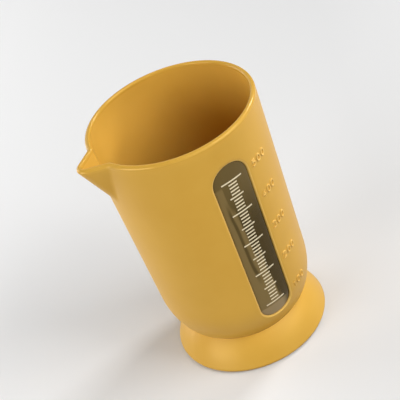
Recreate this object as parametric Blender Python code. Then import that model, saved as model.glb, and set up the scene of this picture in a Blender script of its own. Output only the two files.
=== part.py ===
"""Measuring cup without a handle: a tapered cup with a pouring spout, a sight window with a
scale, raised volume numbers and a flared foot. Sizes are in millimetres and degrees.

The cup's axis is vertical. The spout points along -X and the window faces -Y.
"""
import math

import bmesh
import bpy

MM = 0.001

# Cup
CUP_HEIGHT = 143.0
RIM_RADIUS = 44.0
WALL = 2.7
SIDE_LEAN = 0.029
RIM_OUTER_ROUND = 1.6
RIM_LAND = 0.1

# Rounded bottom of the cup, a quarter of an ellipse in section
BULGE_TOP = 42.5
BULGE_DEPTH = 15.3
BULGE_HEIGHT = 28.8
SPIGOT_RADIUS = 31.0
FLOOR_TOP = 8.5
FLOOR_FILLET = 3.0

# Spout
SPOUT_REACH = 54.4
SPOUT_FLANK_ANGLE = 35.0
SPOUT_LEAN = 0.453
SPOUT_TIP_RADIUS = 5.5
SPOUT_BLEND = 1.0

# Window opening and the strip in it; the azimuths run from the spout towards the window
WINDOW_AZIMUTH = 90.0
WINDOW_WIDTH = 20.8
WINDOW_BELOW_RIM = 15.2
WINDOW_BOTTOM = 27.8
WINDOW_END_HEIGHT = 8.4
WINDOW_END_POWER = 2.2
WINDOW_RECESS = 0.9
LIP_ROUND = 0.9
SEAT_DEPTH = 1.5
SEAT_WIDTH = 1.5

# Scale marks: a mark for each ten millilitres
LOWEST_VOLUME = 100
HIGHEST_VOLUME = 500
MARK_STEP = 10
LOWEST_MARK_RISE = 9.3
HIGHEST_MARK_DROP = 9.7
MARK_THICKNESS = 0.3
MARK_HEIGHT = 0.75
HUNDRED_MARK_LENGTH = 12.2
FIFTY_MARK_LENGTH = 8.1
TEN_MARK_LENGTH = 5.0

# Raised numbers beside the window
NUMBER_GAP = 2.5
NUMBER_HEIGHT = 4.6
NUMBER_WIDTH = 3.5
NUMBER_PITCH = 4.3
NUMBER_STROKE = 1.1
NUMBER_CREST = 0.7
NUMBER_RELIEF = 0.45
NUMBER_ROOT = 0.6
MITRE_LIMIT = 1.3

# Foot
FOOT_RADIUS = 42.0
FOOT_EDGE_ROUND = 2.0
FOOT_TOP_RADIUS = 33.0
FOOT_CROWN = 0.9
FOOT_WALL = 2.7
FOOT_LEDGE_RADIUS = 27.0
FOOT_LEDGE_THICKNESS = 2.0

# Gap left between two pieces, and the level gap that leaves it between two sloping faces
CLEARANCE = 0.3
SLOPE_GAP = 2 * CLEARANCE

# Fineness of the round surfaces
SPOUT_SECTOR = 20.0
SPOUT_COLUMNS = 10
SPOUT_CROWDING = 1.6
SIDE_COLUMNS = 40
BULGE_ROWS = 8
FLANK_ROWS = 10
FLANK_CROWDING = 1.5
ROUND_ROWS = 4
LIP_ROWS = 4
END_ROWS = 8
STRIP_COLUMNS = 8
FOOT_COLUMNS = 60
FOOT_ROWS = 6
MARK_SEGMENT = 2.0
ARC_SEGMENT = 30.0
SHARP_ANGLE = 35.0
WELD = 0.001

# Heights that follow from the sizes above
LIP_HEIGHT = CUP_HEIGHT - RIM_OUTER_ROUND
WINDOW_TOP = CUP_HEIGHT - WINDOW_BELOW_RIM
LOWEST_MARK = WINDOW_BOTTOM + LOWEST_MARK_RISE
HIGHEST_MARK = WINDOW_TOP - HIGHEST_MARK_DROP
FLOOR_BOTTOM = FLOOR_TOP - WALL

FLANK = math.radians(SPOUT_FLANK_ANGLE)
AXIS_X = (SPOUT_REACH - RIM_RADIUS) / 2


def side_radius(z):
    """Outer radius of the tapered side at height z."""
    return RIM_RADIUS - SIDE_LEAN * max(LIP_HEIGHT - z, 0.0)


BULGE_TOP_RADIUS = side_radius(BULGE_TOP)
BULGE_CENTRE_RADIUS = BULGE_TOP_RADIUS - BULGE_DEPTH


def cup_radius(z):
    """Outer radius of the cup at height z, with its rounded bottom."""
    if z >= BULGE_TOP:
        return side_radius(z)
    drop = min((BULGE_TOP - z) / BULGE_HEIGHT, 1.0)
    return BULGE_CENTRE_RADIUS + BULGE_DEPTH * math.sqrt(1.0 - drop * drop)


def bulge_height_at(radius):
    """Height at which the rounded bottom has this outer radius."""
    share = (radius - BULGE_CENTRE_RADIUS) / BULGE_DEPTH
    return BULGE_TOP - BULGE_HEIGHT * math.sqrt(1.0 - share * share)


def place(radius, azimuth, z):
    """Point in metres from cylinder coordinates: azimuth 0 is the spout, 90 the window."""
    angle = math.radians(azimuth)
    return (-radius * math.cos(angle) * MM, -radius * math.sin(angle) * MM, z * MM)


def spread(count):
    """Shares from 0 to 1 in equal steps, both ends included."""
    return [i / count for i in range(count + 1)]


def loft(bm, rings, closed=False, caps=True):
    """Join rings of points one after another into a skin."""
    made = [[bm.verts.new(point) for point in ring] for ring in rings]
    pairs = list(zip(made, made[1:]))
    if closed:
        pairs.append((made[-1], made[0]))
    for lower, upper in pairs:
        for i, corner in enumerate(lower):
            j = (i + 1) % len(lower)
            bm.faces.new((corner, lower[j], upper[j], upper[i]))
    if caps and not closed:
        bm.faces.new(made[0])
        bm.faces.new(made[-1])
    return made


def material(name, colour, roughness):
    """Plain Principled material from an sRGB colour."""
    made = bpy.data.materials.new(name)
    made.use_nodes = True
    shader = made.node_tree.nodes["Principled BSDF"]
    linear = [(c / 255.0 / 12.92) if c <= 10 else ((c / 255.0 + 0.055) / 1.055) ** 2.4 for c in colour]
    shader.inputs["Base Color"].default_value = (*linear, 1.0)
    shader.inputs["Roughness"].default_value = roughness
    shader.inputs["Metallic"].default_value = 0.0
    return made


def finish(bm, name, axis, paint=None):
    """Turn the bmesh into a named object that stands on the cup's axis."""
    bmesh.ops.remove_doubles(bm, verts=bm.verts, dist=WELD * MM)
    bmesh.ops.recalc_face_normals(bm, faces=bm.faces)
    mesh = bpy.data.meshes.new(name)
    bm.to_mesh(mesh)
    bm.free()
    mesh.shade_smooth()
    mesh.set_sharp_from_angle(angle=math.radians(SHARP_ANGLE))
    made = bpy.data.objects.new(name, mesh)
    bpy.context.collection.objects.link(made)
    made.parent = axis
    if paint:
        mesh.materials.append(paint)
    else:
        made.hide_render = True
        made.display_type = "WIRE"
    return made


def boolean(target, operation, other):
    """Leave a live exact Boolean on the target."""
    modifier = target.modifiers.new(other.name, "BOOLEAN")
    modifier.operation = operation
    modifier.object = other
    modifier.solver = "EXACT"
    modifier.use_self = operation == "UNION"


# Cup body

def column_azimuths():
    """Azimuths of the cup's columns, closer together at the spout's tip."""
    near = [SPOUT_SECTOR * share ** SPOUT_CROWDING for share in spread(SPOUT_COLUMNS)]
    far = [SPOUT_SECTOR + (360 - 2 * SPOUT_SECTOR) * share for share in spread(SIDE_COLUMNS)]
    return near + far[1:-1] + [360 - azimuth for azimuth in reversed(near[1:])]


def spout_reach_at(z):
    """Distance of the spout's tip from the axis at height z."""
    return SPOUT_REACH - SPOUT_LEAN * max(LIP_HEIGHT - z, 0.0)


def spout_radius(angle, centre, tip):
    """Distance from the axis to the spout's round tip or, beyond it, to the straight flank."""
    if angle < math.atan2(tip * math.cos(FLANK), centre + tip * math.sin(FLANK)):
        across = centre * math.sin(angle)
        return centre * math.cos(angle) + math.sqrt(max(tip * tip - across * across, 0.0))
    return (centre * math.sin(FLANK) + tip) / math.sin(min(FLANK + angle, math.pi / 2))


def ring_radius(azimuth, radius, centre, tip):
    """Radius of a level ring: a circle that runs softly into the spout."""
    spout = spout_radius(math.radians(min(azimuth, 360 - azimuth)), centre, tip)
    near = max(SPOUT_BLEND - abs(radius - spout), 0.0) / SPOUT_BLEND
    return max(radius, spout) + near * near * SPOUT_BLEND / 4


def cup_ring(z, inset, radius=None):
    """Ring of points on the cup at height z, inset from the outer surface."""
    radius = side_radius(z) if radius is None else radius
    centre = spout_reach_at(z) - SPOUT_TIP_RADIUS
    tip = SPOUT_TIP_RADIUS - inset
    return [place(ring_radius(a, radius - inset, centre, tip), a, z) for a in column_azimuths()]


def bulge_rings(inset, end_radius):
    """Rings of the rounded bottom from the given radius up to its top."""
    depth = BULGE_DEPTH - inset
    height = BULGE_HEIGHT - inset
    last = math.acos((end_radius - BULGE_CENTRE_RADIUS) / depth)
    rings = []
    for share in spread(BULGE_ROWS):
        turn = last * (1.0 - share)
        radius = BULGE_CENTRE_RADIUS + depth * math.cos(turn)
        rings.append(cup_ring(BULGE_TOP - height * math.sin(turn), 0.0, radius))
    return rings


def flank_heights():
    """Heights of the rings along the spout, closer together where it runs out below."""
    fall = (spout_reach_at(LIP_HEIGHT) - RIM_RADIUS + SPOUT_BLEND) / (SPOUT_LEAN - SIDE_LEAN)
    foot = LIP_HEIGHT - fall
    return [foot + (LIP_HEIGHT - foot) * share ** FLANK_CROWDING for share in spread(FLANK_ROWS)]


def rim_rings():
    """Rings over the rim, from the outer rounding across the land to the inner rounding."""
    inner_round = WALL - RIM_OUTER_ROUND - RIM_LAND
    rings = []
    for share in spread(ROUND_ROWS)[1:]:
        turn = math.pi / 2 * share
        inset = RIM_OUTER_ROUND * (1 - math.cos(turn))
        rings.append(cup_ring(LIP_HEIGHT + RIM_OUTER_ROUND * math.sin(turn), inset))
    for share in spread(ROUND_ROWS - 1):
        turn = math.pi / 2 * share
        inset = WALL - inner_round * (1 - math.sin(turn))
        rings.append(cup_ring(CUP_HEIGHT - inner_round * (1 - math.cos(turn)), inset))
    return rings


def floor_rings():
    """Rings from the inside of the spigot round the fillet to the floor."""
    bore = SPIGOT_RADIUS - WALL
    rings = []
    for share in spread(ROUND_ROWS - 1):
        turn = math.pi / 2 * share
        radius = bore - FLOOR_FILLET * (1 - math.cos(turn))
        rings.append(cup_ring(FLOOR_TOP + FLOOR_FILLET * (1 - math.sin(turn)), 0.0, radius))
    return rings


def make_cup_body(axis):
    """Shell from the floor's underside up the outside, over the rim and down the inside."""
    outside = [cup_ring(FLOOR_BOTTOM, 0.0, SPIGOT_RADIUS)]
    outside += bulge_rings(0.0, SPIGOT_RADIUS)
    outside += [cup_ring(z, 0.0) for z in flank_heights()]
    inside = [cup_ring(z, WALL) for z in reversed(flank_heights()[:-1])]
    inside += list(reversed(bulge_rings(WALL, SPIGOT_RADIUS - WALL)))
    inside += floor_rings()
    bm = bmesh.new()
    loft(bm, outside + rim_rings() + inside)
    return finish(bm, "cup_body", axis, material("honey_plastic", (212, 164, 82), 0.42))


# Sight window

WINDOW_CENTRE_TOP = WINDOW_TOP - WINDOW_WIDTH / 2
WINDOW_CENTRE_BOTTOM = WINDOW_BOTTOM + WINDOW_END_HEIGHT


def window_rows(inset):
    """Height and half width of the strip's rows, from its round top to its blunt bottom."""
    half = WINDOW_WIDTH / 2 - inset
    end = WINDOW_END_HEIGHT - inset
    rows = []
    for share in spread(END_ROWS):
        turn = math.pi / 2 * share
        rows.append((WINDOW_CENTRE_TOP + half * math.cos(turn), half * math.sin(turn)))
    rows.append((BULGE_TOP, half))
    power = 2.0 / WINDOW_END_POWER
    for share in reversed(spread(END_ROWS)):
        turn = math.pi / 2 * share
        drop = end * max(math.cos(turn), 0.0) ** power
        rows.append((WINDOW_CENTRE_BOTTOM - drop, half * math.sin(turn) ** power))
    return rows


def surface_point(across, z, depth):
    """Point at a width across the window and a depth below the cup's outer surface."""
    azimuth = WINDOW_AZIMUTH + math.degrees(across / side_radius(WINDOW_CENTRE_TOP))
    return place(cup_radius(z) - depth, azimuth, z)


def window_loop(inset, depth):
    """Outline of the window at one depth, as a closed loop of points."""
    rows = window_rows(inset)
    right = [surface_point(half, z, depth) for z, half in rows]
    left = [surface_point(-half, z, depth) for z, half in rows[1:-1]]
    return right + left[::-1]


def fill_strip(bm, inset, depth):
    """Curved face of the window strip, as rows of quads."""
    grid = []
    for z, half in window_rows(inset):
        across = [half * (2 * share - 1) for share in spread(STRIP_COLUMNS)]
        grid.append([bm.verts.new(surface_point(a, z, depth)) for a in across])
    for upper, lower in zip(grid, grid[1:]):
        for i in range(STRIP_COLUMNS):
            bm.faces.new((upper[i], upper[i + 1], lower[i + 1], lower[i]))


def make_window_cutter(axis):
    """Opening through the wall: a rounded lip, a plain part and a wider seat inside."""
    lead_in = LIP_ROUND + SEAT_WIDTH
    steps = [(-lead_in, -2 * lead_in), (-lead_in, -LIP_ROUND)]
    for share in spread(LIP_ROWS)[1:]:
        turn = math.pi / 2 * share
        steps.append((-LIP_ROUND * (1 - math.sin(turn)), LIP_ROUND * (1 - math.cos(turn))))
    steps.append((0.0, SEAT_DEPTH))
    steps.append((-SEAT_WIDTH, SEAT_DEPTH))
    steps.append((-SEAT_WIDTH, 3 * WALL))
    bm = bmesh.new()
    loft(bm, [window_loop(inset, depth) for inset, depth in steps])
    return finish(bm, "window_cutter", axis)


def make_window(axis):
    """Smoked strip with a flange that sits in the seat from the inside."""
    plug = CLEARANCE
    flange = CLEARANCE - SEAT_WIDTH
    flange_depth = SEAT_DEPTH + CLEARANCE
    steps = [(plug, WINDOW_RECESS), (plug, flange_depth), (flange, flange_depth), (flange, WALL)]
    bm = bmesh.new()
    loft(bm, [window_loop(inset, depth) for inset, depth in steps], caps=False)
    fill_strip(bm, *steps[0])
    fill_strip(bm, *steps[-1])
    bmesh.ops.dissolve_degenerate(bm, dist=WELD * MM, edges=bm.edges)
    return finish(bm, "window", axis, material("smoked_plastic", (96, 78, 50), 0.15))


# Scale

def mark_height(volume):
    """Height of a volume's mark: equal volumes in a bore that widens upwards."""
    low = side_radius(LOWEST_MARK) - WALL
    high = side_radius(HIGHEST_MARK) - WALL
    share = (volume - LOWEST_VOLUME) / (HIGHEST_VOLUME - LOWEST_VOLUME)
    radius = (low ** 3 + share * (high ** 3 - low ** 3)) ** (1 / 3)
    return LOWEST_MARK + (HIGHEST_MARK - LOWEST_MARK) * (radius - low) / (high - low)


def mark_length(volume):
    """Marks at hundreds are longest, and at fifties longer than the rest."""
    if volume % 100 == 0:
        return HUNDRED_MARK_LENGTH
    return FIFTY_MARK_LENGTH if volume % 50 == 0 else TEN_MARK_LENGTH


def make_mark(axis, volume, paint):
    """Curved bar for one volume, just above the window's face."""
    inner = WINDOW_RECESS - CLEARANCE
    outer = inner - MARK_THICKNESS
    z = mark_height(volume)
    length = mark_length(volume)
    section = [(z - MARK_HEIGHT / 2, inner), (z + MARK_HEIGHT / 2, inner)]
    section += [(z + MARK_HEIGHT / 2, outer), (z - MARK_HEIGHT / 2, outer)]
    across = [length * (share - 0.5) for share in spread(round(length / MARK_SEGMENT))]
    bm = bmesh.new()
    loft(bm, [[surface_point(a, level, depth) for level, depth in section] for a in across])
    return finish(bm, f"mark_{volume}", axis, paint)


def make_scale(axis):
    """The marks, each its own object."""
    paint = material("cream_ink", (232, 216, 176), 0.5)
    for volume in range(LOWEST_VOLUME, HIGHEST_VOLUME + 1, MARK_STEP):
        make_mark(axis, volume, paint)


# Raised numbers

def arc(centre, radii, start, end):
    """Points on an elliptical arc, angles in degrees anticlockwise from the right."""
    steps = max(round(abs(end - start) / ARC_SEGMENT), 1)
    points = []
    for share in spread(steps):
        angle = math.radians(start + (end - start) * share)
        points.append((centre[0] + radii[0] * math.cos(angle), centre[1] + radii[1] * math.sin(angle)))
    return points


def digit_strokes(digit):
    """Centre lines of a digit about its middle, as (points, closed) pairs."""
    x = (NUMBER_WIDTH - NUMBER_STROKE) / 2
    y = (NUMBER_HEIGHT - NUMBER_STROKE) / 2
    if digit == "0":
        return [(arc((0, 0), (x, y), 0, 360)[:-1], True)]
    if digit == "1":
        return [([(-x / 2, y / 2), (x / 4, y), (x / 4, -y)], False)]
    if digit == "2":
        top = arc((0, y / 2), (x, y / 2), 170, -30)
        return [(top + [(-x, -y), (x, -y)], False)]
    if digit == "3":
        top = arc((0, y / 2), (0.9 * x, y / 2), 150, -50)
        return [(top + arc((0, -y / 2), (x, y / 2), 50, -150), False)]
    if digit == "4":
        return [([(x / 3, y), (-x, -y / 3), (x, -y / 3)], False), ([(x / 3, y / 3), (x / 3, -y)], False)]
    bowl = arc((0, -y / 3), (x, 2 * y / 3), 90, -150)
    return [([(0.8 * x, y), (-0.75 * x, y), (-0.75 * x, 0.2 * y)] + bowl, False)]


def direction(start, end):
    """Unit vector from one point to another."""
    run = math.hypot(end[0] - start[0], end[1] - start[1])
    return ((end[0] - start[0]) / run, (end[1] - start[1]) / run)


def stroke_rings(points, closed):
    """Trapezium sections along a centre line, mitred where it turns."""
    half = NUMBER_STROKE / 2
    crest = NUMBER_CREST / 2
    section = [(-half, NUMBER_ROOT), (-crest, -NUMBER_RELIEF), (crest, -NUMBER_RELIEF), (half, NUMBER_ROOT)]
    legs = [direction(a, b) for a, b in zip(points, points[1:] + points[:1])]
    rings = []
    for i, (x, y) in enumerate(points):
        arriving = legs[i - 1] if closed or i > 0 else legs[i]
        leaving = legs[i] if closed or i < len(points) - 1 else legs[i - 1]
        left = direction((arriving[1], -arriving[0]), (-leaving[1], leaving[0]))
        mitre = 1.0 / (left[1] * leaving[0] - left[0] * leaving[1])
        turn = arriving[0] * leaving[1] - arriving[1] * leaving[0]
        ring = []
        for side, depth in section:
            reach = side * (mitre if side * turn > 0 else min(mitre, MITRE_LIMIT))
            ring.append((x + left[0] * reach, y + left[1] * reach, depth))
        rings.append(ring)
    return rings


def make_numbers(axis):
    """Numbers at the hundreds, each level with its mark."""
    start = WINDOW_WIDTH / 2 + NUMBER_GAP + NUMBER_WIDTH / 2
    bm = bmesh.new()
    for volume in range(LOWEST_VOLUME, HIGHEST_VOLUME + 1, 100):
        z = mark_height(volume)
        for place_in_number, digit in enumerate(str(volume)):
            middle = start + NUMBER_PITCH * place_in_number
            for points, closed in digit_strokes(digit):
                rings = stroke_rings(points, closed)
                skin = [[surface_point(middle + x, z + y, depth) for x, y, depth in r] for r in rings]
                loft(bm, skin, closed=closed)
    return finish(bm, "raised_numbers", axis)


# Foot

def foot_profile():
    """Closed section of the foot, from the inner edge of its top down the outside and back up."""
    bore = SPIGOT_RADIUS + CLEARANCE
    edge = (FOOT_RADIUS, FOOT_EDGE_ROUND)
    top = (FOOT_TOP_RADIUS, bulge_height_at(FOOT_TOP_RADIUS) - SLOPE_GAP)
    run = (edge[0] - top[0], edge[1] - top[1])
    length = math.hypot(*run)
    outward = (-run[1] / length, run[0] / length)
    skirt = []
    for share in spread(FOOT_ROWS):
        swell = FOOT_CROWN * math.sin(math.pi * share)
        point = (top[0] + run[0] * share + outward[0] * swell, top[1] + run[1] * share + outward[1] * swell)
        skirt.append(point)
    edge_round = []
    for share in spread(ROUND_ROWS)[1:]:
        turn = math.pi / 2 * share
        drop = FOOT_EDGE_ROUND * math.sin(turn)
        edge_round.append((FOOT_RADIUS - FOOT_EDGE_ROUND * (1 - math.cos(turn)), FOOT_EDGE_ROUND - drop))
    ledge_top = FLOOR_BOTTOM - CLEARANCE
    ledge_bottom = ledge_top - FOOT_LEDGE_THICKNESS
    lean = run[0] / -run[1]
    inner_foot = FOOT_RADIUS - FOOT_EDGE_ROUND - FOOT_WALL
    inner = [(inner_foot, 0.0), (inner_foot - lean * ledge_bottom, ledge_bottom)]
    inner += [(FOOT_LEDGE_RADIUS, ledge_bottom), (FOOT_LEDGE_RADIUS, ledge_top)]
    inner += [(bore, ledge_top), (bore, bulge_height_at(bore) - SLOPE_GAP)]
    return skirt + edge_round + inner


def make_foot(axis):
    """Flared ring that holds the cup by its spigot and stands on its lower edge."""
    azimuths = [360 * share for share in spread(FOOT_COLUMNS)[:-1]]
    bm = bmesh.new()
    loft(bm, [[place(r, a, z) for a in azimuths] for r, z in foot_profile()], closed=True)
    return finish(bm, "foot", axis, material("honey_plastic_foot", (216, 168, 86), 0.42))


def build():
    for old in list(bpy.data.objects):
        bpy.data.objects.remove(old, do_unlink=True)
    axis = bpy.data.objects.new("cup_axis", None)
    axis.location = (AXIS_X * MM, 0.0, 0.0)
    bpy.context.collection.objects.link(axis)
    cup_body = make_cup_body(axis)
    boolean(cup_body, "UNION", make_numbers(axis))
    boolean(cup_body, "DIFFERENCE", make_window_cutter(axis))
    make_window(axis)
    make_scale(axis)
    make_foot(axis)


build()
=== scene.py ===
"""Measuring cup of honey-yellow plastic with a smoked sight window, on a pale studio floor."""
import math

import bmesh
import bpy
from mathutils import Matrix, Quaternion, Vector


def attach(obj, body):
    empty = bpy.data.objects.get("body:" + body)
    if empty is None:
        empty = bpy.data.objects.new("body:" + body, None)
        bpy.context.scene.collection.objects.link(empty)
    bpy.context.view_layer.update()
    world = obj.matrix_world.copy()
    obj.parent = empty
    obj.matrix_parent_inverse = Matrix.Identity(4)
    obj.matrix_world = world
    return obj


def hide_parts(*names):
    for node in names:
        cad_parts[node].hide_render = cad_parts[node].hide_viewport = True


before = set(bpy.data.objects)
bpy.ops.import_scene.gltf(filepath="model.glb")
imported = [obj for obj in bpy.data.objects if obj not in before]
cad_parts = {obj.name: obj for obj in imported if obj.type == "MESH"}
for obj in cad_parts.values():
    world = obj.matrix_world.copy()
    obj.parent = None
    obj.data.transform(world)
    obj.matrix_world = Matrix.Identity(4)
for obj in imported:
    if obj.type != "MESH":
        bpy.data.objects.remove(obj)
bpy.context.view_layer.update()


# Camera
# Stands to the front left of the cup and looks down into it, rolled to its right so that the cup
# leans in the picture as when it is about to pour.
CAMERA_PLACE = (-0.16871, -0.45458, 0.427884)
CAMERA_AIM = (0.003073, 0.000783, 0.086818)
CAMERA_ROLL = 22.427
CAMERA_LENS = 103.956
SENSOR_WIDTH = 36.0
CLIP_NEAR = 0.01
CLIP_FAR = 50.0

camera = bpy.data.objects.new("camera", bpy.data.cameras.new("camera"))
camera.data.lens = CAMERA_LENS
camera.data.sensor_width = SENSOR_WIDTH
camera.data.clip_start = CLIP_NEAR
camera.data.clip_end = CLIP_FAR
camera.location = CAMERA_PLACE
camera.rotation_mode = "QUATERNION"
level_look = (Vector(CAMERA_AIM) - Vector(CAMERA_PLACE)).to_track_quat("-Z", "Y")
camera.rotation_quaternion = level_look @ Quaternion((0, 0, 1), math.radians(-CAMERA_ROLL))
bpy.context.collection.objects.link(camera)
bpy.context.scene.camera = camera


# Cup body
# One injection moulding of opaque honey-yellow ABS: tapered side, V spout, rolled rim, rounded
# bottom and a floor. Its outline is a turned profile whose level rings swell into the spout.
MM = 0.001
CUP_HEIGHT = 143.0
RIM_RADIUS = 44.0
CUP_WALL = 2.7
SIDE_LEAN = 0.029
RIM_OUTER_ROUND = 1.6
RIM_INNER_ROUND = 1.0
BULGE_TOP = 42.5
BULGE_DEPTH = 15.3
BULGE_HEIGHT = 28.8
SPIGOT_RADIUS = 31.0
SPIGOT_BEVEL = 0.4
FLOOR_TOP = 8.5
FLOOR_FILLET = 3.0
FLOOR_RING_RADIUS = 15.0
SPOUT_REACH = 54.4
SPOUT_FLANK = math.radians(35.0)
SPOUT_TIP_RADIUS = 5.5
SPOUT_LEAN = 0.453
SPOUT_BLEND = 1.6
CUP_AXIS = (SPOUT_REACH - RIM_RADIUS) / 2
LIP_HEIGHT = CUP_HEIGHT - RIM_OUTER_ROUND
INNER_SIDE_TOP = LIP_HEIGHT - 0.5
NO_SPOUT = (0.0, 0.0)
CUP_COLUMNS = 288
CUP_CROWDING = 0.85
BULGE_ROWS = 28
SIDE_ROWS = 44
ROUND_ROWS = 8
RIM_INNER_ROWS = 5
CLOUD_SIZE = 25.0
CLOUD_LOW = 0.3
CLOUD_HIGH = 0.7
GRAIN_SIZE = 0.25
GRAIN_DEPTH = 0.02
HONEY_DULLNESS = 0.41
HONEY_UNEVENNESS = 0.03
HONEY_SHEEN = "#FFDC98"
HONEY_IOR = 1.53
SMOOTH_RIM_BLEND = 1.0
SMOOTH_RIM_SHARE = 0.5
WELD_DISTANCE = 2e-6
DOUBLES_DISTANCE = 1e-7
SHARP_EDGE = math.radians(38)
STRAIGHT_CORNER = 3.1


def steps(count, skip_first=False):
    """Shares from 0 to 1 in equal steps."""
    return [i / count for i in range(1 if skip_first else 0, count + 1)]


def side_radius(z):
    """Outer radius of the tapered side at a height, in millimetres."""
    return RIM_RADIUS - SIDE_LEAN * max(LIP_HEIGHT - z, 0.0)


BULGE_CENTRE = side_radius(BULGE_TOP) - BULGE_DEPTH


def cup_radius(z):
    """Outer radius of the cup at a height, rounded bottom included."""
    drop = min(max((BULGE_TOP - z) / BULGE_HEIGHT, 0.0), 1.0)
    side = side_radius(max(z, BULGE_TOP)) - side_radius(BULGE_TOP)
    return BULGE_CENTRE + BULGE_DEPTH * math.sqrt(1.0 - drop * drop) + side


def arc(centre, radii, start, end, count):
    """Points (radius, height) on part of an ellipse, angles in degrees from straight outwards."""
    points = []
    for share in steps(count):
        turn = math.radians(start + (end - start) * share)
        points.append((centre[0] + radii[0] * math.cos(turn), centre[1] + radii[1] * math.sin(turn)))
    return points


def bulge(inset, end_radius):
    """The rounded bottom in section, from the spigot up to the tapered side."""
    radii = (BULGE_DEPTH - inset, BULGE_HEIGHT - inset)
    start = -math.degrees(math.acos((end_radius - BULGE_CENTRE) / radii[0]))
    return arc((BULGE_CENTRE, BULGE_TOP), radii, start, 0, BULGE_ROWS)


def side(inset, top):
    """The tapered side in section, from the rounded bottom up to the rim."""
    rise = [BULGE_TOP + (top - BULGE_TOP) * share for share in steps(SIDE_ROWS, skip_first=True)]
    return [(side_radius(z) - inset, z) for z in rise]


def spout_tip(z, inset):
    """Distance from the cup's axis to the middle of the spout's round tip, and the tip's radius."""
    reach = SPOUT_REACH - SPOUT_LEAN * max(LIP_HEIGHT - z, 0.0)
    return (reach - SPOUT_TIP_RADIUS, SPOUT_TIP_RADIUS - inset)


def cup_profile():
    """Section of the cup from under its floor round the rim to the top of its floor."""
    floor_bottom = FLOOR_TOP - CUP_WALL
    bore = SPIGOT_RADIUS - CUP_WALL
    outside = [(0.0, floor_bottom), (FLOOR_RING_RADIUS, floor_bottom)]
    outside += [(SPIGOT_RADIUS - SPIGOT_BEVEL, floor_bottom), (SPIGOT_RADIUS, floor_bottom + SPIGOT_BEVEL)]
    outside += bulge(0.0, SPIGOT_RADIUS) + side(0.0, LIP_HEIGHT)
    rows = [(r, z, 0.0) for r, z in outside]
    outer_round = (RIM_RADIUS - RIM_OUTER_ROUND, LIP_HEIGHT)
    inner_round = (RIM_RADIUS - CUP_WALL + RIM_INNER_ROUND, CUP_HEIGHT - RIM_INNER_ROUND)
    rim = arc(outer_round, (RIM_OUTER_ROUND,) * 2, 0, 90, ROUND_ROWS)[1:]
    rim += arc(inner_round, (RIM_INNER_ROUND,) * 2, 90, 180, RIM_INNER_ROWS)
    rows += [(r, z, RIM_RADIUS - r) for r, z in rim]
    fillet = (bore - FLOOR_FILLET, FLOOR_TOP + FLOOR_FILLET)
    inside = side(CUP_WALL, INNER_SIDE_TOP)[::-1] + bulge(CUP_WALL, bore)[::-1]
    inside += arc(fillet, (FLOOR_FILLET,) * 2, 0, -90, ROUND_ROWS)[1:]
    inside += [(FLOOR_RING_RADIUS, FLOOR_TOP), (0.0, FLOOR_TOP)]
    return rows + [(r, z, CUP_WALL) for r, z in inside]


def add_object(name, data):
    """Object of this name and data, in the scene."""
    made = bpy.data.objects.new(name, data)
    bpy.context.collection.objects.link(made)
    return made


def profile_object(name, rows):
    """Profile as a string of points in metres, each with the spout's round tip at its height."""
    mesh = bpy.data.meshes.new(name)
    points = [(r * MM, 0.0, z * MM) for r, z, _ in rows]
    mesh.from_pydata(points, [(i, i + 1) for i in range(len(points) - 1)], [])
    centres = mesh.attributes.new("tip centre", "FLOAT", "POINT")
    radii = mesh.attributes.new("tip radius", "FLOAT", "POINT")
    for i, (r, z, inset) in enumerate(rows):
        centre, radius = NO_SPOUT if inset is None or z < BULGE_TOP else spout_tip(z, inset)
        centres.data[i].value = centre * MM
        radii.data[i].value = radius * MM
    return add_object(name, mesh)


def add_node(tree, kind, inputs=None, **settings):
    """Adds a node with its settings; an input is a value, a socket, or a node, for its first output."""
    made = tree.nodes.new(kind)
    for name, value in settings.items():
        setattr(made, name, value)
    for name, value in (inputs or {}).items():
        source = value.outputs[0] if isinstance(value, bpy.types.Node) else value
        if isinstance(source, bpy.types.NodeSocket):
            tree.links.new(source, made.inputs[name])
        else:
            made.inputs[name].default_value = source
    return made


def new_tree(name, inputs):
    """Geometry tree with a geometry input and output, and the named inputs with their defaults."""
    tree = bpy.data.node_groups.new(name, "GeometryNodeTree")
    tree.interface.new_socket("Geometry", in_out="INPUT", socket_type="NodeSocketGeometry")
    for label, (kind, value) in inputs.items():
        socket = tree.interface.new_socket(label, in_out="INPUT", socket_type=kind)
        if value is not None:
            socket.default_value = value
    tree.interface.new_socket("Geometry", in_out="OUTPUT", socket_type="NodeSocketGeometry")
    return tree


def round_axis(tree, axis, azimuth, radius, height):
    """Place in a tree of a point round the cup's axis, its azimuth counted from the spout."""
    cosine = add_node(tree, "ShaderNodeMath", {0: azimuth}, operation="COSINE")
    sine = add_node(tree, "ShaderNodeMath", {0: azimuth}, operation="SINE")
    along = add_node(tree, "ShaderNodeMath", {0: radius, 1: cosine}, operation="MULTIPLY")
    aside = add_node(tree, "ShaderNodeMath", {0: radius, 1: sine}, operation="MULTIPLY")
    right = add_node(tree, "ShaderNodeMath", {0: axis, 1: along}, operation="SUBTRACT")
    forward = add_node(tree, "ShaderNodeMath", {0: aside, 1: -1.0}, operation="MULTIPLY")
    return add_node(tree, "ShaderNodeCombineXYZ", {"X": right, "Y": forward, "Z": height})


def finish_tree(tree, geometry, material):
    """Ends a tree: its result as one real mesh, painted."""
    whole = add_node(tree, "GeometryNodeRealizeInstances", {"Geometry": geometry})
    painted = add_node(tree, "GeometryNodeSetMaterial", {"Geometry": whole, "Material": material})
    add_node(tree, "NodeGroupOutput", {"Geometry": painted})


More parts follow.
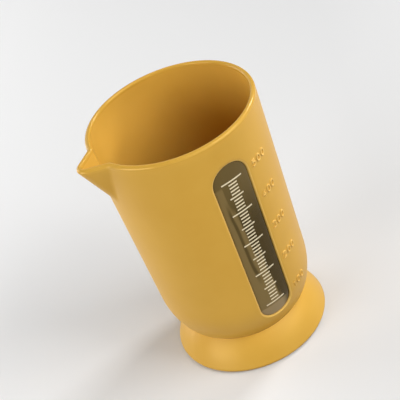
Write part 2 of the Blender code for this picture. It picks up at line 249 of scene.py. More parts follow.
def turned_tree():
    """Turns a profile round the cup's axis; each ring swells softly to the spout's flanks and tip."""
    tree = new_tree("turned on the cup's axis", {
        "Columns": ("NodeSocketInt", 96),
        "Crowding": ("NodeSocketFloat", 0.0),
        "Axis X": ("NodeSocketFloat", CUP_AXIS * MM),
        "Flank angle": ("NodeSocketFloat", SPOUT_FLANK),
        "Blend": ("NodeSocketFloat", 0.0),
        "Material": ("NodeSocketMaterial", None),
    })
    given = add_node(tree, "NodeGroupInput").outputs
    profile = given["Geometry"]
    size = add_node(tree, "GeometryNodeAttributeDomainSize", {"Geometry": profile}, component="MESH")
    rows = size.outputs["Point Count"]
    lines = add_node(tree, "ShaderNodeMath", {0: given["Columns"], 1: 1.0}, operation="ADD")
    grid = add_node(tree, "GeometryNodeMeshGrid", {
        "Size X": 1.0, "Size Y": 1.0, "Vertices X": lines, "Vertices Y": rows})
    share = add_node(tree, "ShaderNodeSeparateXYZ", {0: grid.outputs["UV Map"]}).outputs
    last_row = add_node(tree, "ShaderNodeMath", {0: rows, 1: 1.0}, operation="SUBTRACT")
    rows_up = add_node(tree, "ShaderNodeMath", {0: share["Y"], 1: last_row}, operation="MULTIPLY")
    row = add_node(tree, "ShaderNodeMath", {0: rows_up}, operation="ROUND")
    # What the profile carries at this row: its place, and the middle and radius of the spout's tip
    carried = [(add_node(tree, "GeometryNodeInputPosition"), "FLOAT_VECTOR")]
    for name in ("tip centre", "tip radius"):
        number = add_node(tree, "GeometryNodeInputNamedAttribute", {"Name": name}, data_type="FLOAT")
        carried.append((number, "FLOAT"))
    place, centre, tip = [add_node(tree, "GeometryNodeSampleIndex", {
        "Geometry": profile, "Value": value, "Index": row}, data_type=kind, domain="POINT")
        for value, kind in carried]
    section = add_node(tree, "ShaderNodeSeparateXYZ", {0: place}).outputs
    # Columns crowd towards the spout, where the rings bend most
    even = add_node(tree, "ShaderNodeMath", {0: share["X"], 1: math.tau}, operation="MULTIPLY")
    wave = add_node(tree, "ShaderNodeMath", {0: even}, operation="SINE")
    crowding = add_node(tree, "ShaderNodeMath", {0: wave, 1: given["Crowding"]}, operation="MULTIPLY")
    azimuth = add_node(tree, "ShaderNodeMath", {0: even, 1: crowding}, operation="SUBTRACT")
    other_way = add_node(tree, "ShaderNodeMath", {0: math.tau, 1: azimuth}, operation="SUBTRACT")
    from_spout = add_node(tree, "ShaderNodeMath", {0: azimuth, 1: other_way}, operation="MINIMUM")
    flank_sine = add_node(tree, "ShaderNodeMath", {0: given["Flank angle"]}, operation="SINE")
    flank_cosine = add_node(tree, "ShaderNodeMath", {0: given["Flank angle"]}, operation="COSINE")
    # Straight flank, tangent to the round tip
    past = add_node(tree, "ShaderNodeMath", {0: from_spout, 1: given["Flank angle"]}, operation="ADD")
    past_capped = add_node(tree, "ShaderNodeMath", {0: past, 1: math.pi / 2}, operation="MINIMUM")
    slant = add_node(tree, "ShaderNodeMath", {0: past_capped}, operation="SINE")
    offset = add_node(tree, "ShaderNodeMath", {
        0: centre, 1: flank_sine, 2: tip}, operation="MULTIPLY_ADD")
    flank = add_node(tree, "ShaderNodeMath", {0: offset, 1: slant}, operation="DIVIDE")
    # Round tip, up to where the flank leaves it
    spout_sine = add_node(tree, "ShaderNodeMath", {0: from_spout}, operation="SINE")
    spout_cosine = add_node(tree, "ShaderNodeMath", {0: from_spout}, operation="COSINE")
    across = add_node(tree, "ShaderNodeMath", {0: centre, 1: spout_sine}, operation="MULTIPLY")
    across_squared = add_node(tree, "ShaderNodeMath", {0: across, 1: across}, operation="MULTIPLY")
    tip_squared = add_node(tree, "ShaderNodeMath", {0: tip, 1: 2.0}, operation="POWER")
    rest = add_node(tree, "ShaderNodeMath", {0: tip_squared, 1: across_squared}, operation="SUBTRACT")
    inside = add_node(tree, "ShaderNodeMath", {0: rest, 1: 0.0}, operation="MAXIMUM")
    beyond = add_node(tree, "ShaderNodeMath", {0: inside}, operation="SQRT")
    round_tip = add_node(tree, "ShaderNodeMath", {
        0: centre, 1: spout_cosine, 2: beyond}, operation="MULTIPLY_ADD")
    leaves_aside = add_node(tree, "ShaderNodeMath", {0: tip, 1: flank_cosine}, operation="MULTIPLY")
    leaves_out = add_node(tree, "ShaderNodeMath", {
        0: tip, 1: flank_sine, 2: centre}, operation="MULTIPLY_ADD")
    leaving = add_node(tree, "ShaderNodeMath", {0: leaves_aside, 1: leaves_out}, operation="ARCTAN2")
    at_tip = add_node(tree, "ShaderNodeMath", {0: from_spout, 1: leaving}, operation="LESS_THAN")
    gain = add_node(tree, "ShaderNodeMath", {0: round_tip, 1: flank}, operation="SUBTRACT")
    spout = add_node(tree, "ShaderNodeMath", {0: gain, 1: at_tip, 2: flank}, operation="MULTIPLY_ADD")
    # Rings without a spout have a tip of no radius and stay circles
    blended = add_node(tree, "ShaderNodeMath", {
        0: section["X"], 1: spout, 2: given["Blend"]}, operation="SMOOTH_MAX")
    swell = add_node(tree, "ShaderNodeMath", {0: blended, 1: section["X"]}, operation="SUBTRACT")
    has_spout = add_node(tree, "ShaderNodeMath", {0: tip, 1: 0.0}, operation="GREATER_THAN")
    radius = add_node(tree, "ShaderNodeMath", {
        0: swell, 1: has_spout, 2: section["X"]}, operation="MULTIPLY_ADD")
    at = round_axis(tree, given["Axis X"], azimuth, radius, section["Z"])
    placed = add_node(tree, "GeometryNodeSetPosition", {"Geometry": grid, "Position": at})
    closed = add_node(tree, "GeometryNodeMergeByDistance", {
        "Geometry": placed, "Distance": WELD_DISTANCE})
    finish_tree(tree, closed, given["Material"])
    return tree


def grow(seed, tree, **inputs):
    """Runs a tree on a seed object and leaves its result there as a plain mesh."""
    modifier = seed.modifiers.new(tree.name, "NODES")
    modifier.node_group = tree
    named = {item.name: item.identifier for item in tree.interface.items_tree if item.in_out == "INPUT"}
    for label, value in inputs.items():
        modifier[named[label.replace("_", " ")]] = value
    return settle(seed)


def settle(piece):
    """Replaces a piece by a plain closed mesh of what its modifiers make, smooth up to sharp edges."""
    evaluated = piece.evaluated_get(bpy.context.evaluated_depsgraph_get())
    mesh = bpy.data.meshes.new_from_object(evaluated)
    work = bmesh.new()
    work.from_mesh(mesh)
    bmesh.ops.remove_doubles(work, verts=work.verts, dist=DOUBLES_DISTANCE)
    bmesh.ops.recalc_face_normals(work, faces=work.faces)
    # Faces with many sides or with a straight corner are split, so that none falls apart later
    uneven = [face for face in work.faces
              if len(face.verts) > 4 or max(loop.calc_angle() for loop in face.loops) > STRAIGHT_CORNER]
    bmesh.ops.triangulate(work, faces=uneven)
    work.to_mesh(mesh)
    work.free()
    mesh.shade_smooth()
    mesh.set_sharp_from_angle(angle=SHARP_EDGE)
    name = piece.name
    bpy.data.objects.remove(piece)
    mesh.name = name
    return add_object(name, mesh)


def linear(code):
    """Linear colour from an sRGB hex value."""
    parts = [int(code[i:i + 2], 16) / 255.0 for i in (1, 3, 5)]
    return tuple(c / 12.92 if c <= 0.04045 else ((c + 0.055) / 1.055) ** 2.4 for c in parts) + (1.0,)


def new_paint(name):
    """New material, its tree, its shader, and where on the object a point lies, in metres."""
    paint = bpy.data.materials.new(name)
    paint.use_nodes = True
    tree = paint.node_tree
    where = add_node(tree, "ShaderNodeTexCoord").outputs["Object"]
    return paint, tree, tree.nodes["Principled BSDF"], where


def per_metre(size):
    """Scale of a pattern whose cells are this many millimetres across."""
    return 1.0 / (size * MM)


def honey_abs(name, deepest, palest):
    """Moulded ABS with a fine spark-eroded grain: satin, opaque, the grain breaks up its gloss."""
    paint, tree, shader, where = new_paint(name)
    # Pigment isn't mixed quite evenly: faint clouds, a shade lighter or deeper
    cloud = add_node(tree, "ShaderNodeTexNoise", {
        "Vector": where, "Scale": per_metre(CLOUD_SIZE), "Detail": 3.0, "Roughness": 0.5})
    tint = add_node(tree, "ShaderNodeValToRGB", {"Fac": cloud})
    for stop, position, code in zip(tint.color_ramp.elements, (CLOUD_LOW, CLOUD_HIGH), (deepest, palest)):
        stop.position = position
        stop.color = linear(code)
    tree.links.new(tint.outputs["Color"], shader.inputs["Base Color"])
    # Grain of the eroded mould: shallow pits that break up the gloss
    grain = add_node(tree, "ShaderNodeTexNoise", {
        "Vector": where, "Scale": per_metre(GRAIN_SIZE), "Detail": 2.0, "Roughness": 0.6})
    relief = add_node(tree, "ShaderNodeBump", {
        "Height": grain, "Strength": 0.25, "Distance": GRAIN_DEPTH * MM})
    tree.links.new(relief.outputs["Normal"], shader.inputs["Normal"])
    sheen = add_node(tree, "ShaderNodeMapRange", {
        "Value": cloud, "From Min": CLOUD_LOW, "From Max": CLOUD_HIGH,
        "To Min": HONEY_DULLNESS - HONEY_UNEVENNESS, "To Max": HONEY_DULLNESS + HONEY_UNEVENNESS})
    # The rim is left smooth, so that it doesn't hold drops, and catches the light in bright lines
    height = add_node(tree, "ShaderNodeSeparateXYZ", {0: where}).outputs["Z"]
    smooth_rim = add_node(tree, "ShaderNodeMapRange", {
        "Value": height, "From Min": (LIP_HEIGHT - SMOOTH_RIM_BLEND) * MM, "From Max": LIP_HEIGHT * MM,
        "To Min": 1.0, "To Max": SMOOTH_RIM_SHARE})
    dull = add_node(tree, "ShaderNodeMath", {0: sheen, 1: smooth_rim}, operation="MULTIPLY")
    tree.links.new(dull.outputs[0], shader.inputs["Roughness"])
    # Its sheen is warm, as the pigment lies right under the surface
    shader.inputs["Specular Tint"].default_value = linear(HONEY_SHEEN)
    shader.inputs["IOR"].default_value = HONEY_IOR
    return paint


honey = honey_abs("honey_abs", "#D3A240", "#D8A847")
turned = turned_tree()
cup_shell = grow(
    profile_object("cup_shell", cup_profile()), turned, Columns=CUP_COLUMNS,
    Crowding=CUP_CROWDING, Blend=SPOUT_BLEND * MM, Material=honey)

# The opening for the window, with its rounded lip and the seat for the strip's flange
WINDOW_AZIMUTH = math.radians(90.0)
WINDOW_WIDTH = 20.8
WINDOW_TOP = 127.8
WINDOW_BOTTOM = 27.8
WINDOW_END_HEIGHT = 8.4
WINDOW_END_POWER = 2.2
LIP_ROUND = 0.9
SEAT_DEPTH = 1.5
SEAT_WIDTH = 1.5
WINDOW_HEAD = WINDOW_TOP - WINDOW_WIDTH / 2
WINDOW_FOOT = WINDOW_BOTTOM + WINDOW_END_HEIGHT
# Rows between the round top and the blunt bottom, closer together where the cup rounds inwards
WINDOW_SIDE_HEIGHTS = (110.0, 100.0, 90.0, 80.0, 70.0, 60.0, 50.0, 46.0, 42.5, 40.0, 38.0)
WINDOW_END_ROWS = 24


def on_cup(across, z, depth):
    """Point at a width across the window and a depth under the cup's surface, in metres."""
    azimuth = WINDOW_AZIMUTH + across / side_radius(WINDOW_HEAD)
    radius = cup_radius(z) - depth
    return Vector((CUP_AXIS - radius * math.cos(azimuth), -radius * math.sin(azimuth), z)) * MM


def window_rows(inset):
    """Height and half width down the window: round top, plain sides and a blunt bottom."""
    half = WINDOW_WIDTH / 2 - inset
    end = WINDOW_END_HEIGHT - inset
    rows = []
    for share in steps(WINDOW_END_ROWS):
        turn = math.pi / 2 * share
        rows.append((WINDOW_HEAD + half * math.cos(turn), half * math.sin(turn)))
    rows += [(z, half) for z in WINDOW_SIDE_HEIGHTS]
    power = 2.0 / WINDOW_END_POWER
    for share in reversed(steps(WINDOW_END_ROWS)):
        turn = math.pi / 2 * share
        drop = end * max(math.cos(turn), 0.0) ** power
        rows.append((WINDOW_FOOT - drop, half * math.sin(turn) ** power))
    return rows


def window_loop(inset, depth):
    """Outline of the window at one depth."""
    rows = window_rows(inset)
    right = [on_cup(half, z, depth) for z, half in rows]
    left = [on_cup(-half, z, depth) for z, half in rows[1:-1]]
    return right + left[::-1]


def loft(work, loops):
    """Joins loops of points one after another into a skin."""
    made = [[work.verts.new(point) for point in loop] for loop in loops]
    for lower, upper in zip(made, made[1:]):
        for i, corner in enumerate(lower):
            j = (i + 1) % len(lower)
            work.faces.new((corner, lower[j], upper[j], upper[i]))
    return made


def window_cutter(paint):
    """Solid that leaves the opening when it is taken from the shell, and paints what it cuts."""
    lead_in = LIP_ROUND + SEAT_WIDTH
    cuts = [(-lead_in, -2 * lead_in), (-lead_in, -LIP_ROUND)]
    for share in steps(ROUND_ROWS, skip_first=True):
        turn = math.pi / 2 * share
        cuts.append((-LIP_ROUND * (1 - math.sin(turn)), LIP_ROUND * (1 - math.cos(turn))))
    cuts += [(0.0, SEAT_DEPTH), (-SEAT_WIDTH, SEAT_DEPTH), (-SEAT_WIDTH, 3 * CUP_WALL)]
    work = bmesh.new()
    loops = loft(work, [window_loop(inset, depth) for inset, depth in cuts])
    work.faces.new(loops[0])
    work.faces.new(loops[-1])
    bmesh.ops.remove_doubles(work, verts=work.verts, dist=WELD_DISTANCE / 2)
    bmesh.ops.recalc_face_normals(work, faces=work.faces)
    mesh = bpy.data.meshes.new("window_cutter")
    work.to_mesh(mesh)
    work.free()
    mesh.materials.append(paint)
    return add_object("window_cutter", mesh)


# A paler honey on the lip and the numbers is a painted highlight, for the light their edges catch
painted_highlight_honey = honey_abs("honey_abs_painted_highlight", "#E2B355", "#EABE66")
cutter = window_cutter(painted_highlight_honey)
opening = cup_shell.modifiers.new("window opening", "BOOLEAN")
opening.operation = "DIFFERENCE"
opening.solver = "EXACT"
opening.material_mode = "TRANSFER"
opening.object = cutter
cup_shell = settle(cup_shell)
bpy.data.objects.remove(cutter)
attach(cup_shell, "root")
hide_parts("cup_body")


# Raised numbers
# Volumes at the hundreds, moulded with the cup on the right of the window. Each is drawn with a
# round-nosed tool in the mould, so it stands as a low round bead. Its paler colour is a painted highlight.
LOWEST_VOLUME = 100
HIGHEST_VOLUME = 500
LOWEST_MARK = 37.1
HIGHEST_MARK = 118.1
NUMBER_GAP = 2.7
NUMBER_HEIGHT = 4.6
NUMBER_WIDTH = 3.5
NUMBER_PITCH = 4.3
NUMBER_STROKE = 1.05
BEAD_CORNERS = 12


def mark_height(volume):
    """Height of a volume's mark: equal volumes in a bore that widens upwards."""
    low = side_radius(LOWEST_MARK) - CUP_WALL
    high = side_radius(HIGHEST_MARK) - CUP_WALL
    share = (volume - LOWEST_VOLUME) / (HIGHEST_VOLUME - LOWEST_VOLUME)
    radius = (low ** 3 + share * (high ** 3 - low ** 3)) ** (1 / 3)
    return LOWEST_MARK + (HIGHEST_MARK - LOWEST_MARK) * (radius - low) / (high - low)


def digit_strokes(digit):
    """Centre lines of a digit about its middle, as (points, closed) pairs."""
    x = (NUMBER_WIDTH - NUMBER_STROKE) / 2
    y = (NUMBER_HEIGHT - NUMBER_STROKE) / 2
    if digit == "0":
        return [(arc((0, 0), (x, y), 0, 360, 28)[:-1], True)]
    if digit == "1":
        return [([(-x / 2, y / 2), (x / 4, y), (x / 4, -y)], False)]
    if digit == "2":
        return [(arc((0, y / 2), (x, y / 2), 170, -30, 18) + [(-x, -y), (x, -y)], False)]
    if digit == "3":
        top = arc((0, y / 2), (0.9 * x, y / 2), 150, -50, 16)
        return [(top + arc((0, -y / 2), (x, y / 2), 50, -150, 16), False)]
    if digit == "4":
        return [([(x / 3, y), (-x, -y / 3), (x, -y / 3)], False), ([(x / 3, y / 3), (x / 3, -y)], False)]
    bowl = arc((0, -y / 3), (x, 2 * y / 3), 90, -150, 20)
    return [([(0.8 * x, y), (-0.75 * x, y), (-0.75 * x, 0.2 * y)] + bowl, False)]


def number_strokes():
    """All strokes as one flat curve: X across the cup from the window's middle, Y upwards."""
    curve = bpy.data.curves.new("raised_numbers", "CURVE")
    curve.dimensions = "3D"
    start = WINDOW_WIDTH / 2 + NUMBER_GAP + NUMBER_WIDTH / 2
    for volume in range(LOWEST_VOLUME, HIGHEST_VOLUME + 1, 100):
        for place, digit in enumerate(str(volume)):
            middle = start + NUMBER_PITCH * place
            for points, closed in digit_strokes(digit):
                spline = curve.splines.new("POLY")
                spline.points.add(len(points) - 1)
                spline.use_cyclic_u = closed
                for knot, (x, y) in zip(spline.points, points):
                    knot.co = ((middle + x) * MM, (mark_height(volume) + y) * MM, 0.0, 1.0)
    return add_object("raised_numbers", curve)


def wrapping_tree():
    """Lays flat geometry on the cup's side: X across the window, Y upwards, Z out of the surface."""
    tree = new_tree("laid on the cup's side", {
        "Axis X": ("NodeSocketFloat", CUP_AXIS * MM),
        "Bulge top": ("NodeSocketFloat", BULGE_TOP * MM),
        "Bulge depth": ("NodeSocketFloat", BULGE_DEPTH * MM),
        "Bulge height": ("NodeSocketFloat", BULGE_HEIGHT * MM),
        "Bulge centre": ("NodeSocketFloat", BULGE_CENTRE * MM),
        "Side lean": ("NodeSocketFloat", SIDE_LEAN),
        "Width radius": ("NodeSocketFloat", side_radius(WINDOW_HEAD) * MM),
        "Azimuth": ("NodeSocketFloat", WINDOW_AZIMUTH),
        "Material": ("NodeSocketMaterial", None),
    })
    given = add_node(tree, "NodeGroupInput").outputs
    place = add_node(tree, "GeometryNodeInputPosition")
    flat = add_node(tree, "ShaderNodeSeparateXYZ", {0: place}).outputs
    under = add_node(tree, "ShaderNodeMath", {0: given["Bulge top"], 1: flat["Y"]}, operation="SUBTRACT")
    below = add_node(tree, "ShaderNodeMath", {0: under, 1: 0.0}, operation="MAXIMUM")
    over = add_node(tree, "ShaderNodeMath", {0: flat["Y"], 1: given["Bulge top"]}, operation="SUBTRACT")
    above = add_node(tree, "ShaderNodeMath", {0: over, 1: 0.0}, operation="MAXIMUM")
    # Quarter ellipse of the rounded bottom, then the tapered side
    drop = add_node(tree, "ShaderNodeMath", {0: below, 1: given["Bulge height"]}, operation="DIVIDE")
    drop_squared = add_node(tree, "ShaderNodeMath", {0: drop, 1: drop}, operation="MULTIPLY")
    left = add_node(tree, "ShaderNodeMath", {0: 1.0, 1: drop_squared}, operation="SUBTRACT")
    curve = add_node(tree, "ShaderNodeMath", {0: left}, operation="SQRT")
    bulge_out = add_node(tree, "ShaderNodeMath", {0: given["Bulge depth"], 1: curve}, operation="MULTIPLY")
    bulged = add_node(tree, "ShaderNodeMath", {0: given["Bulge centre"], 1: bulge_out}, operation="ADD")
    lean_out = add_node(tree, "ShaderNodeMath", {0: above, 1: given["Side lean"]}, operation="MULTIPLY")
    surface = add_node(tree, "ShaderNodeMath", {0: bulged, 1: lean_out}, operation="ADD")
    radius = add_node(tree, "ShaderNodeMath", {0: surface, 1: flat["Z"]}, operation="ADD")
    turn = add_node(tree, "ShaderNodeMath", {0: flat["X"], 1: given["Width radius"]}, operation="DIVIDE")
    azimuth = add_node(tree, "ShaderNodeMath", {0: given["Azimuth"], 1: turn}, operation="ADD")
    at = round_axis(tree, given["Axis X"], azimuth, radius, flat["Y"])
    laid = add_node(tree, "GeometryNodeSetPosition", {"Geometry": given["Geometry"], "Position": at})
    finish_tree(tree, laid, given["Material"])
    return tree


def bead_tree(wrapping):
    """Runs a round bead along each stroke, sunk to half its depth, and lays it on the cup."""
    tree = new_tree("beads on the cup's side", {
        "Bead radius": ("NodeSocketFloat", NUMBER_STROKE / 2 * MM),
        "Bead corners": ("NodeSocketInt", BEAD_CORNERS),
        "Material": ("NodeSocketMaterial", None),
    })
    given = add_node(tree, "NodeGroupInput").outputs
    bead = add_node(tree, "GeometryNodeCurvePrimitiveCircle", {
        "Resolution": given["Bead corners"], "Radius": given["Bead radius"]})
    skin = add_node(tree, "GeometryNodeCurveToMesh", {
        "Curve": given["Geometry"], "Profile Curve": bead, "Fill Caps": True})
    laid = add_node(tree, "GeometryNodeGroup", node_tree=wrapping)
    tree.links.new(skin.outputs[0], laid.inputs["Geometry"])
    tree.links.new(given["Material"], laid.inputs["Material"])
    add_node(tree, "NodeGroupOutput", {"Geometry": laid})
    return tree


wrapping = wrapping_tree()
# The numbers are painted a paler honey: a painted highlight
raised_numbers = grow(number_strokes(), bead_tree(wrapping), Material=painted_highlight_honey)
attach(raised_numbers, "root")
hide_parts("cup_body")


# Sight window
# A strip of smoked SAN, a clear glossy plastic tinted brown, moulded to the cup's curve. A flange
# round its back holds it in the seat, and its face lies a little under the cup's surface.
WINDOW_RECESS = 0.9
WINDOW_FIT = 0.06
WINDOW_EDGE = 0.25
WINDOW_COLUMNS = 20
FLOW_SPACING = 10.0 / 3.0
FLOW_STRETCH = 0.12
FLOW_RELIEF = 0.05
FLOW_WAVER = 9.0
# The paler smoke colours are painted reflection; only the darkest is the strip's own brown
SMOKE_AND_REFLECTION_SHADES = (0.0, 0.5, 1.0)
SMOKE_AND_REFLECTION_COLOURS = ("#443404", "#907948", "#AC9468")
PALE_SIDE_SHADE = 0.5
PALE_SIDE_BLUR = 1.0
STREAK_WAVER_SHARE = 0.3
STREAK_CORE = 0.3
STREAK_EDGE = 1.3
STREAK_DEPTH = 0.8
# How the painted reflections vary: along what, from and to in millimetres, and the values at those two
# ends
PAINTED_REFLECTION_RAMPS = {
    "pale side's front": ("up", 45.0, 112.0, 3.0 * MM, -6.0 * MM, "LINEAR"),
    "pale side under the head": ("up", 115.5, 119.0, 1.0, 0.0, "SMOOTHSTEP"),
    "streak's middle": ("up", 60.0, 97.0, -4.3 * MM, -6.6 * MM, "LINEAR"),
    "streak's lower end": ("up", 50.0, 62.0, 0.0, 1.0, "SMOOTHSTEP"),
    "streak's upper end": ("up", 98.0, 110.0, 1.0, 0.0, "SMOOTHSTEP"),
    "foot under the marks": ("up", LOWEST_MARK - 2.0, LOWEST_MARK - 1.0, 1.0, 0.0, "SMOOTHSTEP"),
    "foot left of the edge": ("across", 3.5, 8.5, 1.0, 0.0, "SMOOTHSTEP"),
    "head": ("up", 85.0, 118.0, 0.0, 0.26, "SMOOTHSTEP"),
}
TOUCH_SIZE = 10.0
SAN_DULLNESS = (0.05, 0.1)
SAN_SHEEN = "#D8BC84"
SAN_CLEARNESS = 0.3
SAN_IOR = 1.57


def smoked_san():
    """Polished tinted SAN: brown and a little cloudy, with painted reflections: pale patches, a darker
    streak, a pale foot and head.
    """
    paint, tree, shader, where = new_paint("smoked_san")
    at = add_node(tree, "ShaderNodeSeparateXYZ", {0: where}).outputs
    across = add_node(tree, "ShaderNodeMath", {0: at["X"], 1: CUP_AXIS * MM}, operation="SUBTRACT")
    ways = {"up": at["Z"], "across": across}
    tint = {}
    for name, (way, start, end, low, high, curve) in PAINTED_REFLECTION_RAMPS.items():
        tint[name] = add_node(tree, "ShaderNodeMapRange", {
            "Value": ways[way], "From Min": start * MM, "From Max": end * MM,
            "To Min": low, "To Max": high}, interpolation_type=curve)
    # Flow lines of the moulding run up the strip and bend its reflections
    stretched = add_node(tree, "ShaderNodeMapping", {
        "Vector": where, "Scale": (1.0, 1.0, FLOW_STRETCH)})
    flow = add_node(tree, "ShaderNodeTexNoise", {
        "Vector": stretched, "Scale": per_metre(FLOW_SPACING), "Detail": 1.0})
    relief = add_node(tree, "ShaderNodeBump", {
        "Height": flow, "Strength": 0.1, "Distance": FLOW_RELIEF * MM})
    tree.links.new(relief.outputs["Normal"], shader.inputs["Normal"])
    # Painted reflection on the left side: it ends in a wavering front, far left at the top and past the
    # middle lower down
    swing = add_node(tree, "ShaderNodeMath", {0: flow, 1: 0.5}, operation="SUBTRACT")
    waver = add_node(tree, "ShaderNodeMath", {0: swing, 1: FLOW_WAVER * MM}, operation="MULTIPLY")
    front = add_node(tree, "ShaderNodeMath", {0: tint["pale side's front"], 1: waver}, operation="ADD")
    past_front = add_node(tree, "ShaderNodeMath", {0: across, 1: front}, operation="SUBTRACT")
    left_of_front = add_node(tree, "ShaderNodeMapRange", {
        "Value": past_front, "From Min": -PALE_SIDE_BLUR * MM, "From Max": PALE_SIDE_BLUR * MM,
        "To Min": 1.0, "To Max": 0.0}, interpolation_type="SMOOTHSTEP")
    painted_reflection_side = add_node(tree, "ShaderNodeMath", {
        0: left_of_front, 1: tint["pale side under the head"]}, operation="MULTIPLY")
    # A darker streak in the painted reflection bends down its middle and fades out at both ends
    streak_line = add_node(tree, "ShaderNodeMath", {
        0: waver, 1: STREAK_WAVER_SHARE, 2: tint["streak's middle"]}, operation="MULTIPLY_ADD")
    beside = add_node(tree, "ShaderNodeMath", {0: across, 1: streak_line}, operation="SUBTRACT")
    from_streak = add_node(tree, "ShaderNodeMath", {0: beside}, operation="ABSOLUTE")
    streak = add_node(tree, "ShaderNodeMapRange", {
        "Value": from_streak, "From Min": STREAK_CORE * MM, "From Max": STREAK_EDGE * MM,
        "To Min": STREAK_DEPTH, "To Max": 0.0}, interpolation_type="SMOOTHSTEP")
    for end in ("streak's lower end", "streak's upper end"):
        streak = add_node(tree, "ShaderNodeMath", {0: streak, 1: tint[end]}, operation="MULTIPLY")
    no_streak = add_node(tree, "ShaderNodeMath", {0: 1.0, 1: streak}, operation="SUBTRACT")
    side_reflection = add_node(tree, "ShaderNodeMath", {0: painted_reflection_side, 1: no_streak}, operation="MULTIPLY")
    side_shade = add_node(tree, "ShaderNodeMath", {
        0: side_reflection, 1: PALE_SIDE_SHADE}, operation="MULTIPLY")
    # Painted reflection: the strip's foot is the palest, up to just under the lowest mark; painted light
    # leaves its head a shade paler
    painted_foot_reflection = add_node(tree, "ShaderNodeMath", {
        0: tint["foot under the marks"], 1: tint["foot left of the edge"]}, operation="MULTIPLY")
    upper_shade = add_node(tree, "ShaderNodeMath", {0: side_shade, 1: tint["head"]}, operation="MAXIMUM")
    shade = add_node(tree, "ShaderNodeMath", {0: upper_shade, 1: painted_foot_reflection}, operation="MAXIMUM")
    # Painted reflection: the dark end is the smoke's own brown, the paler stops paint the reflections
    smoke_and_reflection = add_node(tree, "ShaderNodeValToRGB", {"Fac": shade})
    smoke_and_reflection.color_ramp.elements.new(SMOKE_AND_REFLECTION_SHADES[1])
    for stop, position, code in zip(smoke_and_reflection.color_ramp.elements, SMOKE_AND_REFLECTION_SHADES, SMOKE_AND_REFLECTION_COLOURS):
        stop.position = position
        stop.color = linear(code)
    tree.links.new(smoke_and_reflection.outputs["Color"], shader.inputs["Base Color"])
    # Use leaves the gloss uneven, in faint patches
    touch = add_node(tree, "ShaderNodeTexNoise", {
        "Vector": where, "Scale": per_metre(TOUCH_SIZE), "Detail": 4.0})
    gloss = add_node(tree, "ShaderNodeMapRange", {
        "Value": touch, "From Min": 0.35, "From Max": 0.65,
        "To Min": SAN_DULLNESS[0], "To Max": SAN_DULLNESS[1]})
    tree.links.new(gloss.outputs["Result"], shader.inputs["Roughness"])
    shader.inputs["Specular Tint"].default_value = linear(SAN_SHEEN)
    shader.inputs["Transmission Weight"].default_value = SAN_CLEARNESS
    shader.inputs["IOR"].default_value = SAN_IOR
    return paint


def window_skin(work, inset, depth):
    """Curved face of the strip, as rows of quads."""
    grid = []
    for z, half in window_rows(inset):
        across = [half * (2 * share - 1) for share in steps(WINDOW_COLUMNS)]
        grid.append([work.verts.new(on_cup(a, z, depth)) for a in across])
    for upper, lower in zip(grid, grid[1:]):
        for i in range(WINDOW_COLUMNS):
            work.faces.new((upper[i], upper[i + 1], lower[i + 1], lower[i]))


def window_strip():
    """The strip with its softened front edge and the flange behind it."""
    flange = WINDOW_FIT - SEAT_WIDTH
    behind = SEAT_DEPTH + WINDOW_FIT
    softening = WINDOW_EDGE / 3
    cuts = [(WINDOW_FIT + WINDOW_EDGE, WINDOW_RECESS), (WINDOW_FIT + softening, WINDOW_RECESS + softening)]
    cuts += [(WINDOW_FIT, WINDOW_RECESS + WINDOW_EDGE), (WINDOW_FIT, behind)]
    cuts += [(flange, behind), (flange, CUP_WALL)]
    work = bmesh.new()
    loft(work, [window_loop(inset, depth) for inset, depth in cuts])
    window_skin(work, *cuts[0])
    window_skin(work, *cuts[-1])
    mesh = bpy.data.meshes.new("window_strip")
    work.to_mesh(mesh)
    work.free()
    return settle(add_object("window_strip", mesh))


window_piece = window_strip()
window_piece.data.materials.append(smoked_san())
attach(window_piece, "root")
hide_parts("window")


# Scale marks
# Cream ink, pad-printed on the window's face: a mark for each 10 ml, longer at the fifties and
# longest at the hundreds. The ink stands as a film a few hundredths of a millimetre thick.
MARK_STEP = 10
MARK_HEIGHT = 0.75
HUNDRED_MARK_LENGTH = 12.2
FIFTY_MARK_LENGTH = 8.1
TEN_MARK_LENGTH = 5.0
MARK_COLUMNS = 13
INK_FILM = 0.05
INK_SPECK = 0.4
INK_RELIEF = 0.01
INK_THICKNESSES = (0.25, 0.5)
INK_COLOURS = ("#D3C5A0", "#F0E2C0")
INK_DULLNESS = 0.55


def cream_ink():
    """Pad-printing ink: opaque cream, dull, with a slightly uneven film."""
    paint, tree, shader, where = new_paint("cream_ink")
    # The film is thinner in specks, where the smoked strip shows through
    film = add_node(tree, "ShaderNodeTexNoise", {
        "Vector": where, "Scale": per_metre(INK_SPECK), "Detail": 2.0})
    cover = add_node(tree, "ShaderNodeValToRGB", {"Fac": film})
    for stop, position, code in zip(cover.color_ramp.elements, INK_THICKNESSES, INK_COLOURS):
        stop.position = position
        stop.color = linear(code)
    tree.links.new(cover.outputs["Color"], shader.inputs["Base Color"])
    relief = add_node(tree, "ShaderNodeBump", {
        "Height": film, "Strength": 0.3, "Distance": INK_RELIEF * MM})
    tree.links.new(relief.outputs["Normal"], shader.inputs["Normal"])
    shader.inputs["Roughness"].default_value = INK_DULLNESS
    return paint


